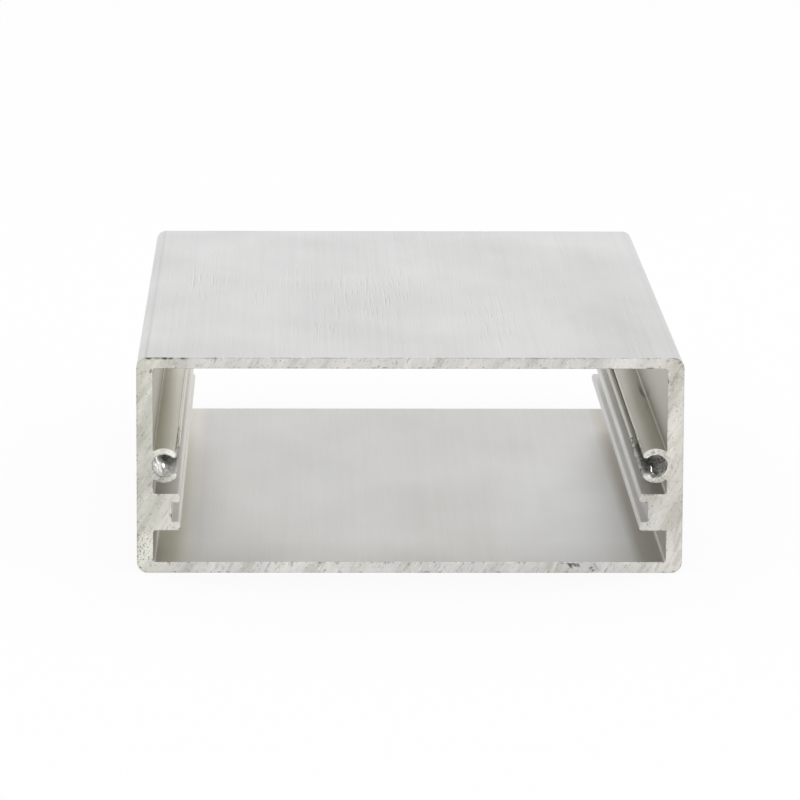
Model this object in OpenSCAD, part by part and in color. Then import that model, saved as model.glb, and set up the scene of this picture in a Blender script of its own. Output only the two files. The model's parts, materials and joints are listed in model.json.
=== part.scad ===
// Open-ended aluminium enclosure body: one length of a box extrusion.
// Along each inner side wall run an open screw port and, below it, a rail
// with a slot for the edge of a circuit board. The section is drawn in the
// X and Z directions and extruded along Y, with the front end at -Y.

/* [Body] */
// Length of the cut extrusion, from front end to rear end
body_l = 80; // [30:1:200]
// Overall width
body_w = 50; // [30:1:120]
// Overall height
body_h = 20; // [19:0.5:60]
// Radius of the four outer corners
corner_r = 1; // [0.4:0.1:2.5]

/* [Walls] */
// Thickness of the top and bottom walls
plate_wall = 1; // [0.6:0.1:2]
// Thickness of the two side walls
side_wall = 1.5; // [0.8:0.1:3]
// Radius of the four inner corners
inner_r = 0.3; // [0.1:0.05:0.8]

/* [Screw ports] */
// Core diameter of the tapped hole, 2.05 for a 2.5 mm thread
core_d = 2.05; // [1.6:0.05:2.3]
// Outer diameter of the port
port_d = 3.2; // [2.8:0.1:3.6]
// From the inner face of the side wall to the centre of the port
port_inset = 1; // [0.6:0.05:1.2]
// From the centre of the port to the flat ends of its lips
port_reach = 1.15; // [0.9:0.05:1.4]
// Width of the mouth between the lips
mouth_w = 1.4; // [0.8:0.05:1.5]

/* [Board rails] */
// Thickness of the circuit board
board_t = 1.6; // [0.8:0.1:2]
// Play of the board in the height of its slot
board_play = 0.2; // [0.1:0.05:0.3]
// Depth of the slot
slot_depth = 0.8; // [0.4:0.05:1.5]
// Thickness of the lips above and below the slot
lip_t = 0.8; // [0.6:0.05:0.9]
// Radius of the lips' edges
lip_r = 0.3; // [0.1:0.05:0.3]
// From the inner face of the side wall to the ends of the lips
rail_reach = 2.5; // [2:0.05:5]
// From the inner face of the bottom wall to the underside of the rail
rail_lift = 2.95; // [1:0.05:3.1]
// Radius where the rail runs into the side wall
rail_fillet_r = 0.25; // [0.1:0.05:0.4]

/* [Hidden] */
$fn = 96;

aluminium = [0.81, 0.81, 0.79];
cavity_w = body_w - 2 * side_wall;
cavity_h = body_h - 2 * plate_wall;
// What grows out of a side wall starts at the middle of that wall
wall_root = side_wall / 2;
port_z = body_h / 2;
port_r = port_d / 2;
slot_w = board_t + board_play;
rail_z = plate_wall + rail_lift;
rail_h = slot_w + 2 * lip_t;
web_reach = rail_reach - slot_depth;

// Rectangle with round corners, its lower left corner at the origin
module round_rect(w, h, r) {
    translate([r, 0]) square([w - 2 * r, h]);
    translate([0, r]) square([w, h - 2 * r]);
    for (x = [r, w - r], y = [r, h - r])
        translate([x, y]) circle(r);
}

// The box with its cavity
module box_section() {
    difference() {
        translate([-body_w / 2, 0]) round_rect(body_w, body_h, corner_r);
        translate([-cavity_w / 2, plate_wall]) round_rect(cavity_w, cavity_h, inner_r);
    }
}

// Draws its children on both side walls: x = 0 is the wall's inner face, and x grows inwards
module on_side_walls() {
    for (side = [0, 1])
        mirror([side, 0])
            translate([-cavity_w / 2, 0])
                children();
}

// Round boss of the port, cut flat where its lips end
module port_boss() {
    translate([0, port_z])
        intersection() {
            translate([port_inset, 0]) circle(port_r);
            translate([-wall_root, -port_r]) square([wall_root + port_inset + port_reach, port_d]);
        }
}

// Core hole of the port and the mouth that opens it into the cavity
module port_hole() {
    translate([port_inset, port_z]) {
        circle(d = core_d);
        translate([0, -mouth_w / 2]) square([port_r, mouth_w]);
    }
}

// Round blend in a corner at the origin, between the wall and a rail above it
module rail_fillet() {
    difference() {
        translate([-wall_root, 0]) square([wall_root + rail_fillet_r, rail_fillet_r]);
        translate([rail_fillet_r, rail_fillet_r]) circle(rail_fillet_r);
    }
}

// Rail: a web on the wall and two lips with the board slot between them
module board_rail() {
    translate([-wall_root, rail_z]) square([wall_root + web_reach, rail_h]);
    for (lip_z = [rail_z, rail_z + lip_t + slot_w])
        translate([-wall_root, lip_z]) round_rect(wall_root + rail_reach, lip_t, lip_r);
    translate([0, rail_z + rail_h]) rail_fillet();
    translate([0, rail_z]) mirror([0, 1]) rail_fillet();
}

// Whole section of the extrusion
module section() {
    difference() {
        union() {
            box_section();
            on_side_walls() port_boss();
            on_side_walls() board_rail();
        }
        on_side_walls() port_hole();
    }
}

module enclosure_body() {
    color(aluminium)
        rotate([90, 0, 0])
            linear_extrude(height = body_l, center = true)
                section();
}

enclosure_body();
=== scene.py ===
import json
import math
import random

import bmesh
import bpy
import numpy as np
from mathutils import Matrix, Vector, noise as blender_noise
from mathutils.geometry import delaunay_2d_cdt


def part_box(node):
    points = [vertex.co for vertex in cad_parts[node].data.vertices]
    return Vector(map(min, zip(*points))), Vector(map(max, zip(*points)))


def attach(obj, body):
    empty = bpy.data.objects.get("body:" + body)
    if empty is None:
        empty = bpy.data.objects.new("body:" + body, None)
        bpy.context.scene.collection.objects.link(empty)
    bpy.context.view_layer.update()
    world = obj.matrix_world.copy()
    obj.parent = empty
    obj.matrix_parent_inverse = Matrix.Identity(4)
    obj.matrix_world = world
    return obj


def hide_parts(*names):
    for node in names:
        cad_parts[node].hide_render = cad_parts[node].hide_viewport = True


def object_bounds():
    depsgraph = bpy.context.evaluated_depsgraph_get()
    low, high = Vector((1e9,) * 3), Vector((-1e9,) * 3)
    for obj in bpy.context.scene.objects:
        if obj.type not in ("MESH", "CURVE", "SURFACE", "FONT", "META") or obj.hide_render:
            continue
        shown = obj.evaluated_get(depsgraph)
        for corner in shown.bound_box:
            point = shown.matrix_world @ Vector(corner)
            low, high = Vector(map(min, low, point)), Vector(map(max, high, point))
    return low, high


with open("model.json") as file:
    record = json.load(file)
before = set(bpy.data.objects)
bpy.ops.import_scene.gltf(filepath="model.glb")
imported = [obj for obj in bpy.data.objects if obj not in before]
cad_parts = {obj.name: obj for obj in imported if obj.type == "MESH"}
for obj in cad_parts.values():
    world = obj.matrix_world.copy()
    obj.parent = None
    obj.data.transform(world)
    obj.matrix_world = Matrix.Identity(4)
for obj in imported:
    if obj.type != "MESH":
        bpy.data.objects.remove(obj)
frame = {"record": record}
cad_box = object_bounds()

# Sizes and places are in millimetres where no comment or name says metres
MM = 0.001
NODE = "enclosure_body"
BODY = "root"
LEFT, RIGHT = -1, 1
FRONT, REAR = -1, 1

# The section: its overall box and the screw ports' places and core holes come from the frame
node_low, node_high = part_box(NODE)
mounts = {mount["name"]: mount for mount in frame["record"]["mounts"]}
screws = mounts["front_plate_screws"]

body_w = (node_high.x - node_low.x) / MM
body_l = (node_high.y - node_low.y) / MM
body_h = (node_high.z - node_low.z) / MM
corner_r = 1.0
plate_wall = 1.0
side_wall = 1.5
inner_r = 0.3
cavity_w = body_w - 2 * side_wall

core_r = screws["dims"]["hole_r_mm"]
port_x = screws["dims"]["spacing_x_mm"] / 2
port_z = screws["pos_m"][2] / MM
port_inset = cavity_w / 2 - port_x
port_r = 1.6
port_reach = 1.15
mouth_half = 0.7
notch_r = 0.1
nose_r = 0.18

slot_w = 1.8
slot_depth = 0.8
lip_t = 0.8
lip_r = 0.3
rail_reach = 2.5
rail_z = plate_wall + 2.95
rail_h = slot_w + 2 * lip_t
rail_fillet_r = 0.25

# Tapped thread in both ends of each port
pitch = 0.45
thread_depth = 0.225
thread_rough = 0.035
groove_slope = 2.3
tapped_l = 15.0
runout_l = 3 * pitch
lead_in_l = 0.3

# Marks of the points at a port, and the steps along the length that they need
TAPPED = ("bore", "mouth", "nose")
LIPS = ("lip_low", "lip_high")
thread_step = pitch / 6
lip_step = pitch / 3
column_step = {**dict.fromkeys(TAPPED, thread_step), **dict.fromkeys(LIPS, lip_step)}

# How finely the meshes are divided
outline_step = 0.12
arc_step_deg = 8.0
nose_step_deg = 22.5
face_step = 0.115
rim_guard = 0.3
fine_past_thread = 3.0
level_gap = 1e-6
sharp_deg = 28

# Cut ends: how far the saw marks lean from the horizontal, and depth of the marks and pits
saw_angle = math.radians(60)
coarse_mark = 0.008
fine_mark = 0.004
pit_depth = 0.05

# Broken edges of the cut ends: usual width, its change, what dirt and burrs add, and the limits
rim_w = 0.03
rim_change = 0.012
rim_dirt_w = 0.045
rim_burr_w = 0.04
rim_limits = (0.018, 0.15)

# Seeds of the noise and of the random draws
face_seed = {FRONT: 71, REAR: 83}
rim_seed = {"outer": 100, "inner": 150}
thread_seed = 501
lip_seed = 601
dirt_seed = 701
crumb_seed = 29


def hashed(ix, iy, seed):
    """A repeatable number from 0 to 1 for each pair of whole numbers."""
    mixed = (ix * 374761393 + iy * 668265263 + seed * 974634541) & 0xFFFFFFFF
    mixed = ((mixed ^ (mixed >> 13)) * 1274126177) & 0xFFFFFFFF
    return ((mixed ^ (mixed >> 16)) & 0xFFFF) / 0xFFFF


def noise(x, y, seed):
    """Smooth noise from -1 to 1 that changes over about one unit."""
    x, y = np.broadcast_arrays(np.asarray(x, float), np.asarray(y, float))
    ix = np.floor(x).astype(np.int64)
    iy = np.floor(y).astype(np.int64)
    fx = x - ix
    fy = y - iy
    fx = fx * fx * (3 - 2 * fx)
    fy = fy * fy * (3 - 2 * fy)
    near = hashed(ix, iy, seed) * (1 - fx) + hashed(ix + 1, iy, seed) * fx
    far = hashed(ix, iy + 1, seed) * (1 - fx) + hashed(ix + 1, iy + 1, seed) * fx
    return 2 * (near * (1 - fy) + far * fy) - 1


def peaks(values, threshold):
    """The part of the noise above a threshold, stretched from 0 to 1."""
    return np.clip((values - threshold) / (1 - threshold), 0, 1)


def side_of(x):
    return RIGHT if x > 0 else LEFT


def from_end(y):
    """Distance from the nearer cut end."""
    return body_l / 2 - np.abs(y)


class Pen:
    """Draws a path of the section as short steps, each point with a mark and a sharp-corner flag."""

    def __init__(self, x, z):
        self.points = [(x, z)]
        self.marks = ["skin"]
        self.corners = [False]

    def step(self, x, z, mark):
        self.points.append((x, z))
        self.marks.append(mark)
        self.corners.append(False)

    def corner(self, mark=None):
        self.corners[-1] = True
        self.marks[-1] = mark or self.marks[-1]

    def line(self, x, z):
        x0, z0 = self.points[-1]
        count = max(1, round(math.hypot(x - x0, z - z0) / outline_step))
        for i in range(1, count + 1):
            self.step(x0 + (x - x0) * i / count, z0 + (z - z0) * i / count, "skin")

    def arc(self, cx, cz, r, start_deg, end_deg, mark="skin", step_deg=arc_step_deg):
        span = math.radians(end_deg - start_deg)
        by_length = abs(span) * r / outline_step
        by_angle = abs(end_deg - start_deg) / step_deg
        count = max(2, math.ceil(max(by_length, by_angle)))
        for i in range(1, count + 1):
            angle = math.radians(start_deg) + span * i / count
            self.step(cx + r * math.cos(angle), cz + r * math.sin(angle), mark)

    def follow(self, points, marks, corners):
        """Steps along a drawn path, from its second point on."""
        for (x, z), mark, corner in list(zip(points, marks, corners))[1:]:
            self.step(x, z, mark)
            self.corners[-1] = corner


def outer_path():
    """The outside of the box, counter-clockwise from the front."""
    half = body_w / 2
    pen = Pen(-half + corner_r, 0)
    for x, z, start in ((half, 0, 270), (half, body_h, 0), (-half, body_h, 90), (-half, 0, 180)):
        cx = math.copysign(half - corner_r, x)
        cz = corner_r if z == 0 else body_h - corner_r
        first = math.radians(start)
        pen.line(cx + corner_r * math.cos(first), cz + corner_r * math.sin(first))
        pen.arc(cx, cz, corner_r, start, start + 90)
    return pen


def rail_lip(pen, z):
    """One lip of the board rail with its round edges, drawn upwards."""
    pen.line(rail_reach - lip_r, z)
    pen.arc(rail_reach - lip_r, z + lip_r, lip_r, 270, 360)
    pen.line(rail_reach, z + lip_t - lip_r)
    pen.arc(rail_reach - lip_r, z + lip_t - lip_r, lip_r, 0, 90)


def board_rail(pen):
    """The rail: both lips and the board slot between them."""
    web_reach = rail_reach - slot_depth
    pen.line(0, rail_z - rail_fillet_r)
    pen.arc(rail_fillet_r, rail_z - rail_fillet_r, rail_fillet_r, 180, 90)
    rail_lip(pen, rail_z)
    pen.line(web_reach, rail_z + lip_t)
    pen.corner()
    pen.line(web_reach, rail_z + lip_t + slot_w)
    pen.corner()
    rail_lip(pen, rail_z + lip_t + slot_w)
    pen.line(rail_fillet_r, rail_z + rail_h)
    pen.arc(rail_fillet_r, rail_z + rail_h + rail_fillet_r, rail_fillet_r, 270, 180)


def screw_port(pen):
    """The open port: round outside, two lips with round noses, the mouth and the core hole."""
    notch_rise = math.sqrt((port_r + notch_r) ** 2 - (port_inset - notch_r) ** 2)
    notch_deg = math.degrees(math.atan2(notch_rise, port_inset - notch_r))
    mouth_deg = math.degrees(math.asin(mouth_half / core_r))
    tip = port_inset + port_reach
    nose_x = tip - nose_r
    outer_nose = math.sqrt((port_r - nose_r) ** 2 - (port_reach - nose_r) ** 2)
    inner_nose = mouth_half + nose_r
    nose_deg = math.degrees(math.atan2(outer_nose, port_reach - nose_r))
    pen.line(0, port_z - notch_rise)
    pen.arc(notch_r, port_z - notch_rise, notch_r, 180, notch_deg, "notch")
    pen.arc(port_inset, port_z, port_r, 180 + notch_deg, 360 - nose_deg)
    pen.arc(nose_x, port_z - outer_nose, nose_r, -nose_deg, 0, "lip_low", nose_step_deg)
    pen.step(tip, port_z - inner_nose, "lip_low")
    pen.arc(nose_x, port_z - inner_nose, nose_r, 0, 90, "nose", nose_step_deg)
    pen.step(port_inset + core_r * math.cos(math.radians(mouth_deg)), port_z - mouth_half, "mouth")
    pen.corner()
    pen.arc(port_inset, port_z, core_r, -mouth_deg, mouth_deg - 360, "bore")
    pen.corner("mouth")
    pen.step(nose_x, port_z + mouth_half, "nose")
    pen.arc(nose_x, port_z + inner_nose, nose_r, -90, 0, "nose", nose_step_deg)
    pen.step(tip, port_z + outer_nose, "lip_high")
    pen.arc(nose_x, port_z + outer_nose, nose_r, 0, nose_deg, "lip_high", nose_step_deg)
    pen.arc(port_inset, port_z, port_r, nose_deg, 180 - notch_deg)
    pen.arc(notch_r, port_z + notch_rise, notch_r, -notch_deg, -180, "notch")


def side_path():
    """The inside of one side wall from floor to ceiling; x is the distance from that wall."""
    pen = Pen(inner_r, plate_wall)
    pen.arc(inner_r, plate_wall + inner_r, inner_r, 270, 180)
    board_rail(pen)
    screw_port(pen)
    pen.line(0, body_h - plate_wall - inner_r)
    pen.arc(inner_r, body_h - plate_wall - inner_r, inner_r, 180, 90)
    return pen


class Outline:
    """A closed path with the solid on its left, as arrays."""

    def __init__(self, pen, name):
        self.points = np.array(pen.points[:-1])
        self.marks = pen.marks[:-1]
        self.corners = np.array(pen.corners[:-1])
        self.name = name
        ahead = np.roll(self.points, -1, axis=0) - self.points
        lengths = np.linalg.norm(ahead, axis=1)
        self.along = np.concatenate(([0.0], np.cumsum(lengths)[:-1]))
        self.total = lengths.sum()
        ahead /= lengths[:, None]
        behind = np.roll(ahead, 1, axis=0)
        both = ahead + behind
        inward = np.stack([-both[:, 1], both[:, 0]], axis=1)
        squared = (inward**2).sum(axis=1, keepdims=True)
        self.inward = inward / np.maximum(squared / 2, 0.5)

    def from_corner(self):
        """Distance along the path from each point to its nearest sharp corner."""
        if not self.corners.any():
            return np.full(len(self.points), self.total)
        apart = np.abs(self.along[:, None] - self.along[self.corners][None, :])
        return np.minimum(apart, self.total - apart).min(axis=1)


def inner_outline():
    """The inside of the box, clockwise from the front: left wall, ceiling, right wall, floor."""
    pen = side_path()
    wall = cavity_w / 2
    left = [(x - wall, z) for x, z in pen.points]
    right = [(wall - x, z) for x, z in reversed(pen.points)]
    loop = Pen(*left[0])
    loop.follow(left, pen.marks, pen.corners)
    loop.line(*right[0])
    loop.follow(right, pen.marks[::-1], pen.corners[::-1])
    loop.line(*left[0])
    return Outline(loop, "inner")


# In the wear below, a number that divides a length is a reach or a grain, and soil is a share: up to 1
# for dirt and painted shade, and down to -1 for freshly torn, bright metal and painted highlights


def top_edge_shade(outline, end, seed, burr):
    """Width and painted shade of the outer top edge: dashes of painted shade where a rolled burr shades
    it, and dark spots at the front left.
    """
    s = outline.along
    dashes = peaks(noise(s / 0.45, 11, seed + 3), 0) + peaks(noise(s / 2.2, 12, seed + 4), 0)
    spots = peaks(noise(s / 0.36, 13, seed + 5), 0.2)
    left_end = np.clip((-15 - outline.points[:, 0]) / 7, 0, 1) if end == FRONT else 0
    soil_and_light = 0.2 + 0.25 * dashes + left_end * (0.1 + 0.7 * spots) - 0.4 * burr
    return rim_w + 0.04 * left_end * spots, soil_and_light


def rim_wear_and_shade(outline, end):
    """Width of the broken edge at one cut end, with its dirt and torn burrs, and painted shade along the
    outer top edge.
    """
    seed = rim_seed[outline.name] + 10 * end
    s = outline.along
    dirt = peaks(noise(s / 0.25, 7, seed + 2), 0.5)
    burr = peaks(noise(s / 0.2, 9, seed + 3), 0.55)
    width = rim_w + rim_change * noise(s / 0.3, 0, seed) + rim_dirt_w * dirt
    if outline.name == "inner":
        width += rim_burr_w * burr
        soil_and_light = 0.65 * dirt - 0.6 * burr
    else:
        top = outline.points[:, 1] > body_h - 0.2 * corner_r
        top_width, top_shade = top_edge_shade(outline, end, seed, burr)
        width = np.where(top, top_width, width)
        soil_and_light = np.where(top, top_shade, 0.12 + 0.6 * dirt)
    limit = 0.035 + 0.4 * outline.from_corner()
    return np.clip(np.minimum(width, limit), *rim_limits), np.clip(soil_and_light, -1, 1)


# Marks, torn spots and painted shade on the front face: ends in x and z, width, depth and soil, which is
# painted shade for the burr spots at the top edge
front_nicks = [
    # Chip and specks in the lower wall, right of the middle
    ((14.5, 0.86), (15.0, 0.84), 0.2, 0.02, 0.9),
    ((14.66, 0.78), (14.84, 0.56), 0.24, 0.03, 1.0),
    ((15.06, 0.84), (15.22, 0.78), 0.18, 0.02, 0.9),
    ((15.14, 0.7), (15.34, 0.64), 0.16, 0.02, 0.9),
    ((15.36, 0.84), (15.5, 0.78), 0.16, 0.02, 0.85),
    ((15.46, 0.68), (15.62, 0.62), 0.15, 0.02, 0.8),
    ((16.55, 0.44), (16.7, 0.47), 0.18, 0.02, 0.9),
    ((16.78, 0.22), (16.88, 0.25), 0.18, 0.02, 0.9),
    ((16.98, 0.8), (17.18, 0.4), 0.2, 0.01, 0.3),
    # Scratches at the upper right corner
    ((24.75, 19.2), (24.2, 18.3), 0.1, 0.02, 0.55),
    ((24.2, 18.3), (23.8, 17.5), 0.12, 0.02, 0.4),
    ((24.55, 18.5), (23.95, 17.4), 0.09, 0.015, 0.3),
    ((24.45, 19.5), (24.7, 19.72), 0.12, 0.03, 0.8),
    # Soft streaks at the lower right
    ((24.9, 5.6), (24.2, 3.0), 0.3, 0.004, 0.2),
    ((24.85, 3.6), (24.3, 2.1), 0.35, 0.004, 0.26),
    ((24.8, 2.0), (24.3, 0.8), 0.4, 0.004, 0.2),
    ((22.9, 0.95), (22.6, 0.2), 0.2, 0.003, 0.15),
    # Specks and bright spots in the upper wall, at the right
    ((23.4, 19.75), (23.48, 19.78), 0.12, 0.02, 0.8),
    ((19.55, 19.84), (19.68, 19.86), 0.1, -0.02, -0.6),
    ((22.45, 19.82), (22.6, 19.84), 0.12, -0.02, -0.6),
    ((21.0, 19.3), (21.06, 19.36), 0.12, 0.02, 0.5),
    ((22.7, 19.15), (22.76, 19.2), 0.12, 0.02, 0.6),
    # Dark spots at the upper left: a mark on the left wall, and painted shade of burrs along the top
    # edge
    ((-23.74, 18.64), (-23.62, 18.88), 0.16, 0.02, 0.9),
    ((-24.02, 19.93), (-23.74, 19.93), 0.2, 0.006, 1.0),
    ((-22.45, 19.93), (-22.3, 19.93), 0.2, 0.006, 0.95),
    ((-22.0, 19.93), (-21.85, 19.93), 0.16, 0.006, 0.7),
    ((-20.78, 19.93), (-20.62, 19.93), 0.22, 0.006, 1.0),
    # Single marks on the left wall, the left port and the upper wall
    ((-24.4, 12.9), (-24.0, 13.7), 0.1, 0.02, 0.3),
    ((-20.95, 8.6), (-20.9, 8.62), 0.1, 0.03, 0.4),
    ((-3.0, 19.05), (-2.9, 19.25), 0.14, 0.02, 0.6),
    # Raised burrs on the right port's lower lip
    ((21.45, 9.05), (21.6, 8.9), 0.2, -0.06, -0.2),
    ((21.75, 8.98), (21.95, 8.86), 0.2, -0.05, -0.1),
    ((22.0, 8.7), (22.15, 8.62), 0.16, -0.04, 0.3),
    ((22.3, 8.85), (22.45, 8.75), 0.14, -0.03, -0.1),
]

# End faces of the ports: raised edge of the hole, dirt, darkening on that edge, and shine of its torn
# spots
ring_rise = 0.035
ring_soil = {LEFT: 0.22, RIGHT: 0.75}
hole_edge_darkening = {LEFT: 0.75, RIGHT: 0}
torn_shine = {LEFT: 0.15, RIGHT: 0.9}


def stroke_distance(x, z, start, end):
    """Distance from points to a short straight stroke."""
    sx, sz = start
    dx, dz = end[0] - sx, end[1] - sz
    share = np.clip(((x - sx) * dx + (z - sz) * dz) / (dx * dx + dz * dz), 0, 1)
    return np.hypot(x - sx - share * dx, z - sz - share * dz)


def saw_marks(x, z, seed):
    """Depth of the leaning saw marks."""
    across = x * math.sin(saw_angle) - z * math.cos(saw_angle)
    along = x * math.cos(saw_angle) + z * math.sin(saw_angle)
    coarse = noise(across / 0.55, along / 5, seed)
    fine = noise(across / 0.22, along / 2.5, seed + 1)
    patch = np.clip(0.45 + 0.8 * noise(x / 4, z / 4, seed + 6), 0.1, 1)
    return (coarse_mark * coarse + fine_mark * fine) * patch


def port_scuffs(x, z, side, seed):
    """Raised edge of one tapped hole, and the dirt and torn spots round it, with a darkening along its
    edge.
    """
    gap = np.hypot(x - side * port_x, z - port_z) - core_r
    grain = noise(x / 0.17, z / 0.17, seed + 4)
    raised = np.exp(-((gap / 0.11) ** 2)) * (0.6 + 0.4 * noise(x / 0.3, z / 0.3, seed + 3))
    scuffed = np.clip(1.6 - gap / 0.4, 0, 1) * peaks(grain, -0.3)
    edge = np.exp(-((gap / 0.06) ** 2))
    torn = np.exp(-((gap / 0.09) ** 2)) * peaks(-grain, 0)
    soil_and_light = ring_soil[side] * scuffed + hole_edge_darkening[side] * edge - torn_shine[side] * torn
    return ring_rise * raised, soil_and_light


def face_relief(x, z, end):
    """How deep the saw-cut face lies below its plane, and its dirt, torn spots and painted shade of
    burrs.
    """
    seed = face_seed[end]
    pitted = np.clip(noise(x / 0.25, z / 0.25, seed + 2) - 0.62, 0, 1)
    depth = saw_marks(x, z, seed) + pit_depth * pitted
    soil_and_light = 0.8 * pitted
    for side in (LEFT, RIGHT):
        raised, scuffs = port_scuffs(x, z, side, seed)
        depth = depth - raised
        soil_and_light = soil_and_light + scuffs
    if end == FRONT:
        for start, stop, width, nick_depth, nick_soil_and_shade in front_nicks:
            near = np.clip(1.4 - stroke_distance(x, z, start, stop) / (width / 2), 0, 1)
            depth = depth + nick_depth * near
            soil_and_light = np.where(near > 0, np.maximum(soil_and_light, 0) * (1 - near) + nick_soil_and_shade * near, soil_and_light)
    return depth, np.clip(soil_and_light, -1, 1)


def on_face(flat, end):
    """Points of the section on the saw-cut face of one end, with their depth, dirt and painted shade."""
    x, z = flat.T
    depth, soil_and_light = face_relief(x, z, end)
    return np.stack([x, end * (body_l / 2 - depth), z], axis=1), depth, soil_and_light


def thread_radius(x, z, ys, centre):
    """Radius of the tapped hole at each place along one column of its wall."""
    turn = math.atan2(x - centre, z - port_z) / (2 * math.pi)
    phase = np.mod(ys / pitch - turn, 1)
    groove = np.clip(1 - groove_slope * np.abs(phase - 0.5), 0, 1)
    run_out = np.clip((tapped_l - from_end(ys)) / runout_l, 0, 1)
    lead_in = np.clip(from_end(ys) / lead_in_l, 0, 1)
    rough = thread_rough * noise(ys / 0.15, turn * 24, thread_seed)
    return core_r + (thread_depth * groove + rough) * run_out * lead_in


# Share of the thread's depth that the tap has cut out of the lips' round edges
nose_shave = 0.45

# How far the tap has pushed each lip's edge out, over which length, and how soon that fades
lip_burr = {
    (LEFT, "lip_low"): (0.05, 9.0),
    (LEFT, "lip_high"): (0.12, 14.5),
    (RIGHT, "lip_low"): (0.15, 17.8),
    (RIGHT, "lip_high"): (0.05, 12.0),
}
burr_fade_l = 1.5


def lip_torn(side, mark, ys):
    """How far the lip's edge is torn at each place, from 0 to 1."""
    burr_l = lip_burr[side, mark][1]
    return np.clip((burr_l - from_end(ys)) / burr_fade_l, 0, 1)


def column_places(front_y, rear_y, step):
    """Places along the length where a column of the wall has its points."""
    if not step:
        return np.array([front_y, front_y + rim_guard, rear_y - rim_guard, rear_y])
    fine_l = tapped_l + fine_past_thread
    near = np.arange(front_y + step, -body_l / 2 + fine_l, step)
    far = np.arange(body_l / 2 - fine_l, rear_y - step / 2, step)
    return np.concatenate(([front_y], near, far, [rear_y]))


def wall_column(x, z, mark, ys, outward):
    """Points of one column of the wall: straight, threaded, or ragged at a lip."""
    xs = np.full_like(ys, x)
    zs = np.full_like(ys, z)
    side = side_of(x)
    centre = side * port_x
    if mark == "mouth":
        xs = centre - side * np.sqrt(thread_radius(x, z, ys, centre) ** 2 - mouth_half**2)
    elif mark in TAPPED:
        shave = 1 if mark == "bore" else nose_shave
        reach = math.hypot(x - centre, z - port_z)
        growth = 1 + shave * (thread_radius(x, z, ys, centre) - core_r) / reach
        xs = centre + (x - centre) * growth
        zs = port_z + (z - port_z) * growth
    elif mark in LIPS:
        share = lip_torn(side, mark, ys) * np.clip(from_end(ys) / 0.2, 0.3, 1)
        ragged = np.clip(0.2 + 0.8 * noise(ys / 0.4, z / 0.2, lip_seed), 0, 1)
        grown = lip_burr[side, mark][0] * share * ragged
        xs = xs + outward[0] * grown
        zs = zs + outward[1] * grown
    return np.stack([xs, ys, zs], axis=1)


class Builder:
    """Collects the points, faces, and the dirt and painted light of one mesh."""

    def __init__(self):
        self.points = []
        self.soil_and_light = []
        self.faces = []
        self.slots = []
        self.count = 0

    def add_points(self, points, soil_and_light):
        first = self.count
        self.points.append(points)
        self.soil_and_light.append(np.broadcast_to(np.asarray(soil_and_light, float), (len(points),)))
        self.count += len(points)
        return list(range(first, self.count))

    def add_face(self, face, slot):
        self.faces.append(face)
        self.slots.append(slot)


# Painted shade along the upper corners, a dark reflection band: how dark at the front and at the rear,
# and where it lies
corner_shade = {LEFT: (0.36, 0.12), RIGHT: (0.09, 0.06)}
corner_shade_x = body_w / 2 - corner_r + 0.12
corner_shade_half = 0.2

# How bright the painted highlight in the notches beside the ports is
notch_highlight = {LEFT: 0.9, RIGHT: 0.4}

# Material slots of the body
OUTER, INNER, CUT, THREAD = range(4)


def stitch(builder, column, beside, ys, slot_at):
    """Joins two columns of the wall, whose points may lie at different places."""
    here = [*ys[column], math.inf]
    there = [*ys[beside], math.inf]
    i = j = 0
    while i < len(column) - 1 or j < len(beside) - 1:
        slot = slot_at(here[i])
        face = [column[i], beside[j]]
        lead = here[i + 1] - there[j + 1]
        if lead > -level_gap:
            j += 1
            face.insert(1, beside[j])
        if lead < level_gap:
            i += 1
            face.insert(1, column[i])
        builder.add_face(tuple(face), slot)


def tapped_slot(y):
    """Material of the core hole's wall at one place."""
    return THREAD if from_end(y) < tapped_l else INNER


def tapped_light_and_shade(x, z, ys):
    """Painted light in the tapped holes: on the right, patchy painted shade; on the left, painted
    highlights in grains, strongest on its left side, and painted shade deep inside.
    """
    fine = noise(ys / 0.7, (x + z) / 0.11, dirt_seed)
    broad = noise(ys / 1.6, (x - z) / 0.2, dirt_seed + 1)
    patchy = fine + 0.6 * broad
    tapped = np.clip((tapped_l + 2 - from_end(ys)) / 2, 0, 1)
    if side_of(x) == RIGHT:
        return tapped * (0.2 + 0.6 * patchy)
    across = (port_x + x) / core_r
    leftness = max(0.0, -across)
    deep_shade = np.clip((from_end(ys) - 6) / 2, 0, 1) * max(0.0, 1 - abs(across + 0.1) / 0.5)
    grain = (0.5 + 0.9 * leftness) * patchy - 0.2 + 0.15 * leftness
    brightened = np.minimum(grain, 0.3 + 0.5 * leftness - 0.5 * abs(across))
    return tapped * (brightened + 0.9 * deep_shade)


def column_soil_and_light(x, z, mark, ys, outline):
    """Dirt and painted light along one column: a painted highlight in the notches, painted light in the
    tapped holes, torn lips, and painted shade along the outer upper corners.
    """
    side = side_of(x)
    if mark == "notch":
        return np.full(len(ys), -notch_highlight[side])
    if mark in TAPPED:
        return tapped_light_and_shade(x, z, ys)
    if mark in LIPS:
        flecks = noise(ys / 0.7, z / 0.15, dirt_seed + 2)
        return lip_torn(side, mark, ys) * 1.4 * (peaks(flecks, 0.3) - peaks(-flecks, 0.2))
    if outline.name == "inner" or z < body_h / 2:
        return np.zeros(len(ys))
    strength = np.linspace(*corner_shade[side], len(ys))
    return strength * max(0.0, 1 - abs(abs(x) - corner_shade_x) / corner_shade_half)


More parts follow.
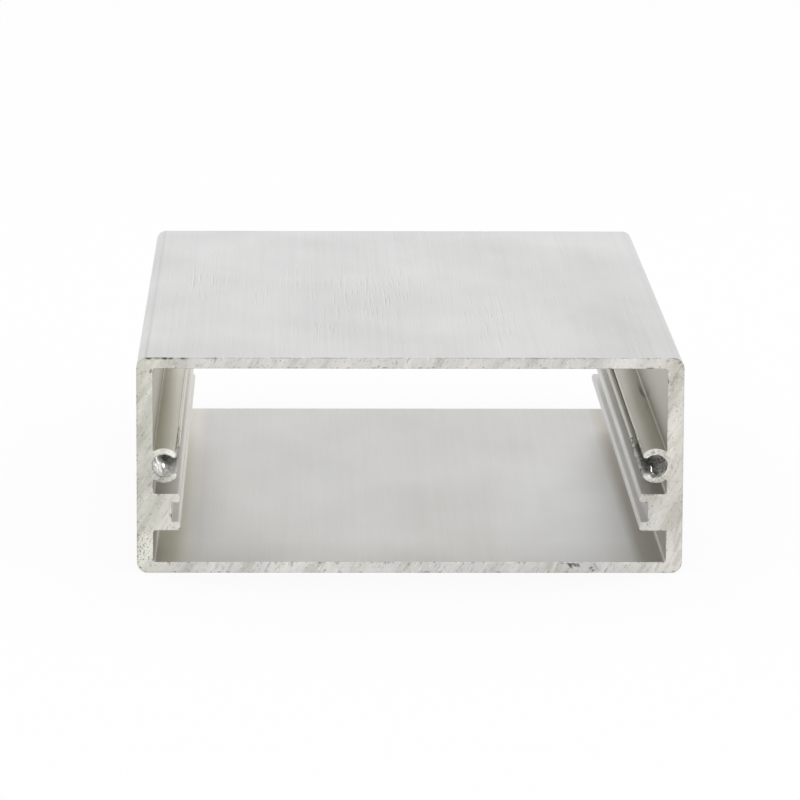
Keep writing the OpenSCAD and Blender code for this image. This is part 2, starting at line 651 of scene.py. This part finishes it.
def add_rims(builder, outline):
    """Points of the end faces' edges, and how far the walls stay behind them, with the dirt and painted
    shade there.
    """
    rings = {}
    wear_and_shade = {}
    for end in (FRONT, REAR):
        width, soil_and_light = rim_wear_and_shade(outline, end)
        ring = outline.points + outline.inward * width[:, None]
        points, depth, face_soil_and_light = on_face(ring, end)
        rings[end] = builder.add_points(points, soil_and_light + face_soil_and_light)
        wear_and_shade[end] = (width + np.maximum(depth, 0), soil_and_light)
    return rings, wear_and_shade


def add_columns(builder, outline, wear_and_shade):
    """The walls' points: a column along the length for each point of the outline."""
    front_width, front_soil_and_light = wear_and_shade[FRONT]
    rear_width, rear_soil_and_light = wear_and_shade[REAR]
    columns = []
    for i, (x, z) in enumerate(outline.points):
        mark = outline.marks[i]
        step = column_step.get(mark, 0)
        ys = column_places(-body_l / 2 + front_width[i], body_l / 2 - rear_width[i], step)
        soil_and_light = column_soil_and_light(x, z, mark, ys, outline)
        soil_and_light[0] += front_soil_and_light[i]
        soil_and_light[-1] += rear_soil_and_light[i]
        columns.append(builder.add_points(wall_column(x, z, mark, ys, -outline.inward[i]), soil_and_light))
    return columns


def add_walls(builder, outline):
    """The skin of one outline with its broken edges. Returns the rings of the two end faces."""
    rings, wear_and_shade = add_rims(builder, outline)
    columns = add_columns(builder, outline, wear_and_shade)
    ys = np.concatenate(builder.points)[:, 1]
    skin = OUTER if outline.name == "outer" else INNER
    front, rear = rings[FRONT], rings[REAR]
    for i, column in enumerate(columns):
        k = (i + 1) % len(columns)
        beside = columns[k]
        tapped = outline.marks[i] in TAPPED and outline.marks[k] in TAPPED
        stitch(builder, column, beside, ys, tapped_slot if tapped else lambda y: skin)
        builder.add_face((front[i], column[0], beside[0], front[k]), CUT)
        builder.add_face((column[-1], rear[i], rear[k], beside[-1]), CUT)
    return rings


def crossings(loops, z):
    """Sorted places where a level line at z crosses the outlines; odd spans are solid."""
    found = []
    for loop in loops:
        ahead = np.roll(loop, -1, axis=0)
        crosses = (loop[:, 1] > z) != (ahead[:, 1] > z)
        here, there = loop[crosses], ahead[crosses]
        share = (z - here[:, 1]) / (there[:, 1] - here[:, 1])
        found.append(here[:, 0] + share * (there[:, 0] - here[:, 0]))
    return np.sort(np.concatenate(found))


def face_points(loops, seed):
    """Scattered points well inside the section, for the end face's relief."""
    draw = np.random.default_rng(seed)
    margin = 0.75 * face_step
    chosen = []
    rows = np.arange(face_step / 2, body_h, face_step * math.sqrt(3) / 2)
    for index, z in enumerate(rows):
        start = -body_w / 2 + (face_step / 2 if index % 2 else 0)
        xs = np.arange(start, body_w / 2, face_step)
        keep = np.ones(len(xs), bool)
        for dz in (-margin, 0, margin):
            crossed = crossings(loops, z + dz)
            for dx in (-margin, 0, margin):
                keep &= np.searchsorted(crossed, xs + dx) % 2 == 1
        xs = xs[keep]
        jitter = draw.uniform(-0.25, 0.25, (len(xs), 2)) * face_step
        chosen.append(np.stack([xs + jitter[:, 0], z + jitter[:, 1]], axis=1))
    return np.concatenate(chosen)


def add_end_face(builder, rings, end):
    """The saw-cut face between the outer and inner rings at one end."""
    placed = np.concatenate(builder.points)
    flat = []
    edges = []
    mesh_index = []
    loops = []
    for ring in rings:
        first = len(flat)
        loop = placed[ring][:, [0, 2]]
        loops.append(loop)
        flat.extend(loop)
        mesh_index.extend(ring)
        edges.extend((first + i, first + (i + 1) % len(ring)) for i in range(len(ring)))
    scattered = face_points(loops, face_seed[end])
    points, _, soil_and_light = on_face(scattered, end)
    mesh_index.extend(builder.add_points(points, soil_and_light))
    flat.extend(scattered)
    inside_constraints = 1
    made = delaunay_2d_cdt([Vector(p) for p in flat], edges, [], inside_constraints, 1e-7)
    _, _, faces, sources, *_ = made
    triangles = np.array([source[0] for source in sources])[np.array(faces)]
    centres = np.array(flat)[triangles].mean(axis=1)
    for triangle, (x, z) in zip(triangles, centres):
        if np.searchsorted(crossings(loops, z), x) % 2 == 1:
            corners = [mesh_index[v] for v in triangle]
            builder.add_face(tuple(corners if end == FRONT else reversed(corners)), CUT)


def link(name, data):
    piece = bpy.data.objects.new(name, data)
    bpy.context.scene.collection.objects.link(piece)
    return piece


def build_body(materials):
    """The whole extrusion as one closed mesh in metres."""
    builder = Builder()
    outlines = (Outline(outer_path(), "outer"), inner_outline())
    rings = [add_walls(builder, outline) for outline in outlines]
    for end in (FRONT, REAR):
        add_end_face(builder, [ring[end] for ring in rings], end)
    mesh = bpy.data.meshes.new("extruded_body")
    mesh.from_pydata(np.concatenate(builder.points) * MM, [], builder.faces)
    for material in materials:
        mesh.materials.append(material)
    mesh.polygons.foreach_set("material_index", builder.slots)
    mesh.polygons.foreach_set("use_smooth", [True] * len(builder.faces))
    soil_and_light = mesh.attributes.new("soil_and_light", "FLOAT", "POINT")
    soil_and_light.data.foreach_set("value", np.concatenate(builder.soil_and_light).astype(np.float32))
    mesh.update()
    mesh.set_sharp_from_angle(angle=math.radians(sharp_deg))
    return link("extruded_body", mesh)


class Graph:
    """Builds the nodes of one material or world with short calls."""

    def __init__(self, owner, shader="Principled BSDF"):
        owner.use_nodes = True
        self.owner = owner
        self.tree = owner.node_tree
        self.shader = self.tree.nodes[shader]

    def add(self, kind, inputs=(), **settings):
        node = self.tree.nodes.new("ShaderNode" + kind)
        for name, value in settings.items():
            setattr(node, name, value)
        for name, value in dict(inputs).items():
            self.feed(node.inputs[name], value)
        return node

    def feed(self, socket, value):
        if isinstance(value, bpy.types.NodeSocket):
            self.tree.links.new(value, socket)
        else:
            socket.default_value = value

    def set(self, name, value):
        """Feeds one input of the shader."""
        self.feed(self.shader.inputs[name], value)

    def place(self):
        """Place on the piece in millimetres."""
        metres = self.add("TexCoord").outputs["Object"]
        return self.stretched(metres, (1 / MM,) * 3)

    def split(self, vector):
        return self.add("SeparateXYZ", {"Vector": vector}).outputs

    def stretched(self, vector, scale, shift=0):
        inputs = {"Vector": vector, "Scale": scale, "Location": (shift, 0, 0)}
        return self.add("Mapping", inputs).outputs["Vector"]

    def noise(self, vector, scale, detail, roughness=0.55, shift=0):
        """Noise with so many changes a millimetre along each axis; shift moves it sideways."""
        inputs = {"Vector": self.stretched(vector, scale, shift), "Scale": 1.0}
        inputs |= {"Detail": detail, "Roughness": roughness}
        return self.add("TexNoise", inputs).outputs[0]

    def ranged(self, value, low, high, new_low=0, new_high=1):
        """Stretches a range of values to a new one, and holds what lies beyond at its ends."""
        inputs = {"Value": value, "From Min": low, "From Max": high}
        inputs |= {"To Min": new_low, "To Max": new_high}
        return self.add("MapRange", inputs).outputs["Result"]

    def maths(self, operation, first, second=0.0):
        node = self.add("Math", operation=operation)
        self.feed(node.inputs[0], first)
        self.feed(node.inputs[1], second)
        return node.outputs["Value"]

    def times(self, first, second):
        return self.maths("MULTIPLY", first, second)

    def blend(self, share, first, second, mode="MIX"):
        node = self.add("MixRGB", {"Fac": share, "Color1": first, "Color2": second}, blend_type=mode)
        return node.outputs["Color"]

    def along_length(self):
        """The direction in which the metal was drawn through the die."""
        drawn = self.add("CombineXYZ", {"Y": 1.0}).outputs["Vector"]
        spaces = {"convert_from": "OBJECT", "convert_to": "WORLD"}
        turned = self.add("VectorTransform", {"Vector": drawn}, vector_type="VECTOR", **spaces)
        return turned.outputs["Vector"]

    def bump(self, height, distance):
        inputs = {"Height": height, "Distance": distance * MM, "Strength": 1.0}
        return self.add("Bump", inputs).outputs["Normal"]


# All surfaces: dirt and painted shade, bare metal and painted highlights, and how far they are metal
DIRT_AND_SHADE = (0.1, 0.095, 0.08, 1)
BRIGHT = (0.97, 0.97, 0.96, 1)
METALLIC = 0.87

# Drawn skins: the finish's direction, scratches with painted shade and highlights on their sides, and
# smudges and painted shade; an edge colour is for slanting reflections
DRAWN = 1.0
QUARTER_TURN = 0.25
SCRATCH_SHADE = (0.4, 0.4, 0.39, 1)
SMUDGE_AND_SHADE = (0.3, 0.3, 0.3, 1)
SMUDGE_AND_SHADE_EDGE = (0.25, 0.24, 0.22, 1)
scratch_strength = 0.72
stroke_scale = (4.8, 0.105, 4.8)

# Inner skin: painted shade in the side channels and near both ends, and painted light in the left
# channel
LEFT_CHANNEL_LIGHT = (0.93, 0.91, 0.815, 1)
LEFT_CHANNEL_SHADE = (0.82, 0.796, 0.709, 1)
RIGHT_CHANNEL_SHADE = (0.57, 0.555, 0.49, 1)
END_SHADE = (0.4, 0.39, 0.35, 1)
CHANNEL_SHADE_EDGE = (0.805, 0.795, 0.755, 1)
LEFT_WALL_SHADE_EDGE = (0.58, 0.57, 0.505, 1)
RIGHT_WALL_SHADE_EDGE = (0.73, 0.72, 0.68, 1)

# Saw-cut ends: blotches, smears, tooth marks and dashes, and the tinges of the side walls
CUT_PALE = (0.76, 0.74, 0.71, 1)
CUT_DULL = (0.7, 0.69, 0.67, 1)
DARK_SMEAR = (0.53, 0.52, 0.48, 1)
PALE_SMEAR = (0.86, 0.84, 0.82, 1)
TOOTH_MARK = (0.45, 0.45, 0.41, 1)
DARK_DASH = (0.34, 0.34, 0.32, 1)
PALE_DASH = (0.95, 0.95, 0.95, 1)
SIDE_TINGE = (1, 0.995, 0.95, 1)
LEFT_TINGE = (0.95, 0.965, 0.95, 1)

# Tapped threads and torn crumbs
THREAD_PALE = (0.85, 0.85, 0.83, 1)
THREAD_DULL = (0.6, 0.59, 0.55, 1)
CRUMB_DULL = (0.8, 0.8, 0.78, 1)

# Heights of the fine relief on each surface
skin_relief = 0.012
cut_relief = 0.02
thread_relief = 0.06
crumb_relief = 0.006


def oval(graph, place, centre, reach, strength):
    """A soft oval patch: strength in its middle, 0 from its reach on."""
    offset = graph.add("VectorMath", {0: place, 1: centre}, operation="SUBTRACT").outputs["Vector"]
    scaled = graph.stretched(offset, tuple(1 / r for r in reach))
    distance = graph.add("VectorMath", {0: scaled}, operation="LENGTH").outputs["Value"]
    return graph.ranged(distance, 0.2, 1.0, strength, 0)


def soiled_and_lit(graph, colour):
    """The colour with the mesh's dirt and painted light on it: dark for dirt and painted shade above 0,
    bright for torn metal and painted highlights below.
    """
    soil_and_light = graph.add("Attribute", attribute_name="soil_and_light").outputs["Fac"]
    colour = graph.blend(graph.ranged(soil_and_light, 0, 1), colour, DIRT_AND_SHADE)
    return graph.blend(graph.ranged(soil_and_light, 0, -1), colour, BRIGHT)


def left_to_right(graph, x, left=0, right=1):
    """One value in the left half of the box and one in the right half, with a soft change between."""
    return graph.ranged(x, -10, 10, left, right)


def channel_shade_share(graph, x, z):
    """Where painted shade dulls the side channels: under the rails, and from the ports up, higher on the
    left.
    """
    outside = graph.ranged(graph.maths("ABSOLUTE", x), 20.5, 21.5)
    lift = left_to_right(graph, x, 2.2, 0)
    above_rail = graph.ranged(graph.maths("SUBTRACT", z, lift), 7.4, 8.4)
    below_rail = graph.ranged(z, 4.2, 3.4, 0, 0.8)
    return graph.times(outside, graph.maths("MAXIMUM", above_rail, below_rail))


def channel_shade(graph, x, y, z, share, colour):
    """Paints shade into the side channels and near both ends, darker on the right and lighter in the
    left channel; the floor is brightest at the front right.
    """
    near_front = graph.ranged(y, 18, -8)
    on_floor = graph.ranged(z, 1.6, 1.2)
    brightened = graph.times(graph.ranged(x, 8, 16.5), near_front)
    colour = graph.blend(graph.times(brightened, on_floor), colour, BRIGHT)
    colour = graph.blend(graph.ranged(x, -19.5, -21), colour, LEFT_CHANNEL_LIGHT)
    shade_colour = graph.blend(left_to_right(graph, x), LEFT_CHANNEL_SHADE, RIGHT_CHANNEL_SHADE)
    colour = graph.blend(share, colour, shade_colour)
    front_end = graph.ranged(y, -40, -30, 0.26, 0)
    rear_end = graph.ranged(y, 16, 40, 0, 0.14)
    return graph.blend(graph.maths("ADD", front_end, rear_end), colour, END_SHADE)


def channel_tint(graph, x, share, tint):
    """The colour of slanting reflections, with painted shade that dulls it in the side channels and most
    on their walls.
    """
    on_wall = graph.ranged(graph.maths("ABSOLUTE", x), 23.3, 23.45)
    wall_edge = graph.blend(left_to_right(graph, x), LEFT_WALL_SHADE_EDGE, RIGHT_WALL_SHADE_EDGE)
    edge = graph.blend(on_wall, CHANNEL_SHADE_EDGE, wall_edge)
    return graph.blend(share, tint, edge)


def short_strokes(graph, place, shift):
    """Short scratches along the length, from 0 to 1; shift moves them sideways."""
    return graph.ranged(graph.noise(place, stroke_scale, 2, shift=shift), 0.55, 0.68)


def scratched(graph, place, colour, fields, faint):
    """Fields of scratches with painted shade on one side and a painted highlight on the other. Returns
    the colour and the shaded sides.
    """
    where = faint
    for field in fields:
        where = graph.maths("MAXIMUM", oval(graph, place, *field), where)
    shaded_side = graph.times(short_strokes(graph, place, 0), where)
    highlit_side = graph.times(short_strokes(graph, place, 0.4), where)
    colour = graph.blend(graph.times(highlit_side, scratch_strength), colour, BRIGHT)
    return graph.blend(graph.times(shaded_side, scratch_strength), colour, SCRATCH_SHADE), shaded_side


def metal(graph, colour, rough, height, relief):
    """Feeds the shader of a bare metal surface. Returns the material."""
    graph.set("Base Color", colour)
    graph.set("Metallic", METALLIC)
    graph.set("Roughness", rough)
    graph.set("Normal", graph.bump(height, relief))
    return graph.owner


def skin_material(name, pale, dull, tint, rough, fields, faint, smudges_and_shade, channels=False):
    """Mill-finish skin: faint die lines, groups of short scratches with painted shade and highlights on
    their sides, soft smudges and painted shade, and painted shade in the side channels.
    """
    graph = Graph(bpy.data.materials.new(name))
    place = graph.place()
    lines = graph.noise(place, (3.5, 0.02, 3.5), 2)
    clouds = graph.noise(place, (0.09, 0.045, 0.09), 4)
    mixed = graph.maths("ADD", graph.times(lines, 0.3), graph.times(clouds, 0.7))
    colour = graph.blend(graph.ranged(mixed, 0.3, 0.7), pale, dull)
    colour, shaded_side = scratched(graph, place, colour, fields, faint)
    if channels:
        x, y, z = graph.split(place)
        share = channel_shade_share(graph, x, z)
        colour = channel_shade(graph, x, y, z, share, colour)
        tint = channel_tint(graph, x, share, tint)
    for dull_patch in smudges_and_shade:
        share = oval(graph, place, *dull_patch)
        colour = graph.blend(share, colour, SMUDGE_AND_SHADE)
        tint = graph.blend(share, tint, SMUDGE_AND_SHADE_EDGE)
    graph.set("Specular Tint", tint)
    graph.set("Anisotropic", DRAWN)
    graph.set("Anisotropic Rotation", QUARTER_TURN)
    graph.set("Tangent", graph.along_length())
    roughness = graph.ranged(mixed, 0.3, 0.7, rough, rough + 0.1)
    height = graph.maths("SUBTRACT", graph.times(lines, 0.35), shaded_side)
    return metal(graph, soiled_and_lit(graph, colour), roughness, height, skin_relief)


# Paler and darker areas of the front cut: centre, reach, and the tone's factor
cut_patches = [
    ((-24.6, -40, 18.7), (3, 2, 4.2), 1.16),
    ((-24.3, -40, 2.2), (2.8, 2, 3.5), 1.14),
    ((-8.5, -40, 0.5), (11, 2, 3), 1.14),
    # Painted shade that dims the left port beams' light on the left wall
    ((-24.3, -40, 10.8), (3, 2, 5), 0.9),
]

# Corner of the front cut with many pits: centre, reach and strength
pitted_corner = ((-24.6, -40, 2.2), (1.6, 2, 3.2), 0.085)


def cut_tone(graph, place, leaning):
    """Blotches and broad leaning smears of a cut end."""
    blotches = graph.noise(place, (0.42,) * 3, 4)
    smears = graph.noise(leaning, (0.1, 0.1, 0.48), 2)
    tone = graph.blend(graph.ranged(blotches, 0.35, 0.65), CUT_PALE, CUT_DULL)
    tone = graph.blend(graph.ranged(smears, 0.52, 0.62, 0, 0.6), tone, DARK_SMEAR)
    return graph.blend(graph.ranged(smears, 0.47, 0.37, 0, 0.55), tone, PALE_SMEAR)


def toothed_share(graph, place, z):
    """Where the saw's teeth left marks: in patches, and fewer in the upper wall."""
    patches = graph.noise(place, (0.23,) * 3, 2)
    return graph.times(graph.ranged(patches, 0.42, 0.6, 0.25, 1), graph.ranged(z, 16.5, 18.5, 1, 0.4))


def tooth_marked(graph, leaning, marks, toothed, tone):
    """The tone with tooth marks, and with short dark and pale dashes."""
    dashes = graph.noise(leaning, (0.9, 0.9, 5.6), 2)
    marked = graph.times(graph.ranged(marks, 0.55, 0.72, 0, 0.75), toothed)
    tone = graph.blend(marked, tone, TOOTH_MARK)
    tone = graph.blend(graph.ranged(dashes, 0.62, 0.7, 0, 0.75), tone, DARK_DASH)
    return graph.blend(graph.ranged(dashes, 0.36, 0.29, 0, 0.75), tone, PALE_DASH)


def area_tones(graph, place, x, tone):
    """The tone with the tinges of the side walls and the paler and darker areas."""
    on_sides = graph.ranged(graph.maths("ABSOLUTE", x), 20, 23.5)
    tone = graph.blend(on_sides, tone, SIDE_TINGE, "MULTIPLY")
    tone = graph.blend(graph.ranged(x, -21, -23.5), tone, LEFT_TINGE, "MULTIPLY")
    for centre, reach, factor in cut_patches:
        share = oval(graph, place, centre, reach, 1.0)
        tone = graph.blend(share, tone, (factor, factor, factor, 1), "MULTIPLY")
    return tone


def cut_material():
    """Saw-cut end: leaning tooth marks, pits and a slightly warm blotchy tone."""
    graph = Graph(bpy.data.materials.new("saw_cut_aluminium"))
    place = graph.place()
    x, _, z = graph.split(place)
    turn = {"Vector": place, "Angle": saw_angle}
    leaning = graph.add("VectorRotate", turn, rotation_type="Y_AXIS").outputs["Vector"]
    marks = graph.noise(leaning, (0.42, 0.42, 3), 3, 0.6)
    toothed = toothed_share(graph, place, z)
    grain = graph.noise(place, (5.2,) * 3, 2)
    pits = graph.ranged(graph.maths("ADD", grain, oval(graph, place, *pitted_corner)), 0.65, 0.7)
    tone = cut_tone(graph, place, leaning)
    tone = tooth_marked(graph, leaning, marks, toothed, tone)
    tone = area_tones(graph, place, x, tone)
    tone = graph.blend(graph.times(pits, 0.6), tone, DIRT_AND_SHADE)
    roughness = graph.ranged(marks, 0.3, 0.7, 0.38, 0.55)
    height = graph.maths("SUBTRACT", graph.times(marks, toothed), pits)
    return metal(graph, soiled_and_lit(graph, tone), roughness, height, cut_relief)


def thread_material():
    """Freshly tapped thread: bright and torn in places."""
    graph = Graph(bpy.data.materials.new("tapped_aluminium"))
    torn = graph.noise(graph.place(), (6.5,) * 3, 3, 0.6)
    tone = graph.blend(graph.ranged(torn, 0.4, 0.65), THREAD_PALE, THREAD_DULL)
    roughness = graph.ranged(torn, 0.35, 0.65, 0.3, 0.5)
    return metal(graph, soiled_and_lit(graph, tone), roughness, torn, thread_relief)


def crumb_material():
    """Torn crumbs: bright bare metal with a fine grain."""
    graph = Graph(bpy.data.materials.new("torn_aluminium"))
    grain = graph.noise(graph.place(), (9,) * 3, 2)
    tone = graph.blend(graph.ranged(grain, 0.35, 0.65), BRIGHT, CRUMB_DULL)
    return metal(graph, tone, graph.ranged(grain, 0.35, 0.65, 0.2, 0.32), grain, crumb_relief)


# Crumbs and slivers of metal on the lips and in the holes: side, distance from the port's centre
# towards the middle of the box, height, depth from the front, and half sizes
crumbs = [
    (LEFT, 1.15, 10.85, 4.6, (0.16, 0.3, 0.2)),
    (LEFT, 1.12, 10.72, 6.3, (0.1, 0.2, 0.12)),
    (LEFT, 1.15, 10.75, 8.4, (0.12, 0.3, 0.16)),
    (LEFT, 1.14, 10.72, 9.9, (0.12, 0.25, 0.15)),
    (LEFT, 1.15, 10.74, 13.6, (0.12, 0.25, 0.14)),
    (RIGHT, 1.15, 9.22, 17.6, (0.2, 0.35, 0.22)),
    (RIGHT, 1.15, 9.25, 16.2, (0.12, 0.25, 0.14)),
    (LEFT, -0.15, 9.2, 4.2, (0.12, 0.03, 0.32)),
    (LEFT, -0.3, 9.1, 1.6, (0.16, 0.03, 0.14)),
    (RIGHT, 0.33, 9.4, 1.3, (0.1, 0.03, 0.42)),
    (RIGHT, 0.2, 9.1, 1.0, (0.07, 0.03, 0.14)),
]
speck_count = 80

# Turn that makes a flat sliver send a beam's light to the camera
sliver_turn = Matrix.Rotation(math.radians(14), 3, "Z") @ Matrix.Rotation(math.radians(-15), 3, "X")


def thread_specks(draw):
    """Torn specks on the left port's thread, away from its mouth."""
    for _ in range(speck_count):
        angle = math.radians(draw.uniform(105, 265))
        r = core_r - draw.uniform(-0.03, 0.2)
        size = draw.uniform(0.025, 0.06)
        depth = draw.uniform(0.15, 3)
        yield LEFT, r * math.cos(angle), port_z + r * math.sin(angle), depth, (size, 0.4 * size, size)


def build_crumbs(material):
    """Small torn crumbs and slivers of metal that cling to the ports."""
    draw = random.Random(crumb_seed)
    built = bmesh.new()
    for side, inward, z, depth, half in crumbs + list(thread_specks(draw)):
        centre = Vector((side * (port_x - inward), -body_l / 2 + depth, z))
        turn = sliver_turn @ Matrix.Rotation(draw.uniform(-0.12, 0.12), 3, "Z")
        offset = Vector((draw.uniform(0, 99), draw.uniform(0, 99), 0))
        made = bmesh.ops.create_icosphere(built, subdivisions=2, radius=1)
        for vertex in made["verts"]:
            swell = 0.85 + 0.4 * blender_noise.noise(vertex.co * 1.7 + offset)
            vertex.co = (centre + turn @ (vertex.co * Vector(half) * swell)) * MM
    mesh = bpy.data.meshes.new("tapping_crumbs")
    built.to_mesh(mesh)
    built.free()
    mesh.materials.append(material)
    mesh.polygons.foreach_set("use_smooth", [True] * len(mesh.polygons))
    return link("tapping_crumbs", mesh)


# Floor: shares of plain white as seen directly and in mirrors, reach from its middle, gap below the part
FLOOR_WHITE = 0.88
MIRRORED_WHITE = 0.5
FLOOR_COLOUR = (0.9, 0.9, 0.9, 1)
floor_reach_m = 3.0
floor_gap = 0.02

# Level of the world's light in front and behind
front_level = 0.85
back_level = 0.95


def white_share(graph):
    """Share of plain white in the floor for each kind of ray."""
    path = graph.add("LightPath").outputs
    through = graph.maths("MAXIMUM", path["Is Glossy Ray"], path["Is Transmission Ray"])
    direct = graph.times(path["Is Camera Ray"], FLOOR_WHITE)
    return graph.maths("MAXIMUM", direct, graph.times(through, MIRRORED_WHITE))


def build_floor():
    """Pale floor that reads as white and keeps a faint shadow."""
    mesh = bpy.data.meshes.new("floor")
    z = cad_box[0].z - floor_gap * MM
    square = ((-1, -1), (1, -1), (1, 1), (-1, 1))
    mesh.from_pydata([(x * floor_reach_m, y * floor_reach_m, z) for x, y in square], [], [(0, 1, 2, 3)])
    floor = link("floor", mesh)
    graph = Graph(bpy.data.materials.new("floor_white"))
    graph.set("Base Color", FLOOR_COLOUR)
    graph.set("Roughness", 0.9)
    glow = graph.add("Emission", {"Color": (1, 1, 1, 1), "Strength": 1.0}).outputs["Emission"]
    both = graph.add("MixShader", {"Fac": white_share(graph)})
    graph.feed(both.inputs[1], graph.shader.outputs["BSDF"])
    graph.feed(both.inputs[2], glow)
    output = graph.tree.nodes["Material Output"]
    graph.feed(output.inputs["Surface"], both.outputs["Shader"])
    mesh.materials.append(graph.owner)


def build_world():
    """White to the camera; for the rest a studio that is brighter behind than in front."""
    world = bpy.data.worlds.new("studio")
    bpy.context.scene.world = world
    graph = Graph(world, "Background")
    direction = graph.add("TexCoord").outputs["Generated"]
    _, y, _ = graph.split(direction)
    level = graph.ranged(y, -1, 0.6, front_level, back_level)
    seen = graph.add("LightPath").outputs["Is Camera Ray"]
    graph.set("Color", (1, 1, 1, 1))
    graph.set("Strength", graph.maths("MAXIMUM", seen, level))


# Overhead lamp: name, place, target and size in metres, and power in watts
overhead_lamp = ("overhead", (0.05, -0.1, 0.7), (0, 0, 0), (0.9, 0.9), 1.2)

# Narrow beams that make the ports glint: name, target in millimetres, direction of the lamp, and power
port_beams = [
    ("left_glint_beam", (-22.65, -35.8, 9.2), (0.5, -0.79, 0.34), 2.4e-5),
    ("left_wall_beam", (-23.5, -37.8, 10.1), (0.53, -0.84, 0.1), 1.4e-5),
    ("right_glint_beam", (22.17, -38.7, 9.4), (0.5, -0.79, 0.34), 6e-6),
]
beam_reach_m = 0.09
beam_size_m = (0.002, 0.002)
beam_spread_deg = 1


def build_lamp(name, place, target, size, power, spread_deg=180):
    """A soft lamp, in metres, turned to the target; a small spread makes it a narrow beam."""
    lamp = bpy.data.lights.new(name, "AREA")
    lamp.shape = "RECTANGLE"
    lamp.size, lamp.size_y = size
    lamp.energy = power
    lamp.spread = math.radians(spread_deg)
    holder = link(name, lamp)
    holder.location = place
    holder.rotation_euler = (Vector(target) - Vector(place)).to_track_quat("-Z", "Y").to_euler()
    holder.visible_camera = False


def build_lamps():
    """One soft lamp overhead, and a narrow beam for each glint in the ports."""
    build_lamp(*overhead_lamp)
    for name, target, towards, power in port_beams:
        spot = Vector(target) * MM
        place = spot + Vector(towards) * beam_reach_m
        build_lamp(name, place, spot, beam_size_m, power, beam_spread_deg)


# Camera: place in metres, turn, tilt and roll, and focal length in pixels of an image so many wide
camera_place = (-0.01106, -0.53382, 0.10363)
camera_yaw = math.radians(1.172)
camera_pitch = math.radians(10.049)
camera_roll = math.radians(0.260)
camera_focal = 5499
image_size = 800
sensor = 36


def build_camera():
    """Camera at the photograph's viewing angle."""
    lens = bpy.data.cameras.new("camera")
    lens.sensor_width = sensor
    lens.lens = camera_focal / image_size * sensor
    lens.clip_start = 0.01
    lens.clip_end = 20
    camera = link("camera", lens)
    turn = Matrix.Rotation(-camera_yaw, 4, "Z")
    turn @= Matrix.Rotation(math.pi / 2 - camera_pitch, 4, "X")
    turn @= Matrix.Rotation(camera_roll, 4, "Z")
    camera.matrix_world = Matrix.Translation(camera_place) @ turn
    bpy.context.scene.camera = camera


# Fields of scratches, with painted shade and highlights on their sides, and soft grey smudges on the
# top: centre, reach and strength
top_scratches = [
    ((-20.2, 5, 20), (6, 16, 10), 0.9),
    ((-3, -4.5, 20), (8.5, 26, 10), 1.0),
    ((8, -17.2, 20), (4, 22, 10), 0.9),
    ((-8.5, -24, 20), (4, 10, 10), 0.8),
    ((-13.5, 0, 20), (3.5, 20, 10), 0.6),
    ((-10.5, 4, 20), (3, 22, 10), 0.6),
]
top_smudges = [
    ((17, 4, 20), (9, 30, 10), 0.05),
    ((20.4, -26, 20), (7, 17, 10), 0.06),
    ((-1.2, -8, 20), (6.5, 20, 10), 0.03),
]

# Painted shade in the dull left corners above and below the rail, and a small dark scuff on the right
# port
inner_shade_and_smudges = [
    ((-23.5, -37, 7.9), (1.2, 9, 1.2), 0.18),
    ((-23.7, -36, 2.6), (1.6, 13, 2.4), 0.5),
    ((23.06, -9.3, 11.5), (0.2, 3.2, 0.3), 0.85),
    ((23.24, -10.8, 11.42), (0.32, 1, 0.26), 0.75),
    ((23.06, -8.8, 11.5), (0.4, 5.5, 0.4), 0.3),
]

outer_skin = skin_material(
    "mill_skin",
    pale=(0.71, 0.71, 0.707, 1),
    dull=(0.675, 0.675, 0.672, 1),
    tint=(0.92, 0.92, 0.917, 1),
    rough=0.3,
    fields=top_scratches,
    faint=0.2,
    smudges_and_shade=top_smudges,
)
inner_skin = skin_material(
    "mill_skin_inside",
    pale=(0.795, 0.787, 0.76, 1),
    dull=(0.765, 0.757, 0.725, 1),
    tint=(0.8, 0.8, 0.8, 1),
    rough=0.28,
    fields=[],
    faint=0.08,
    smudges_and_shade=inner_shade_and_smudges,
    channels=True,
)

body = build_body([outer_skin, inner_skin, cut_material(), thread_material()])
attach(body, BODY)
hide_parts(NODE)

loose = build_crumbs(crumb_material())
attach(loose, BODY)

build_floor()
build_world()
build_lamps()
build_camera()

bpy.context.scene.view_settings.view_transform = "Standard"
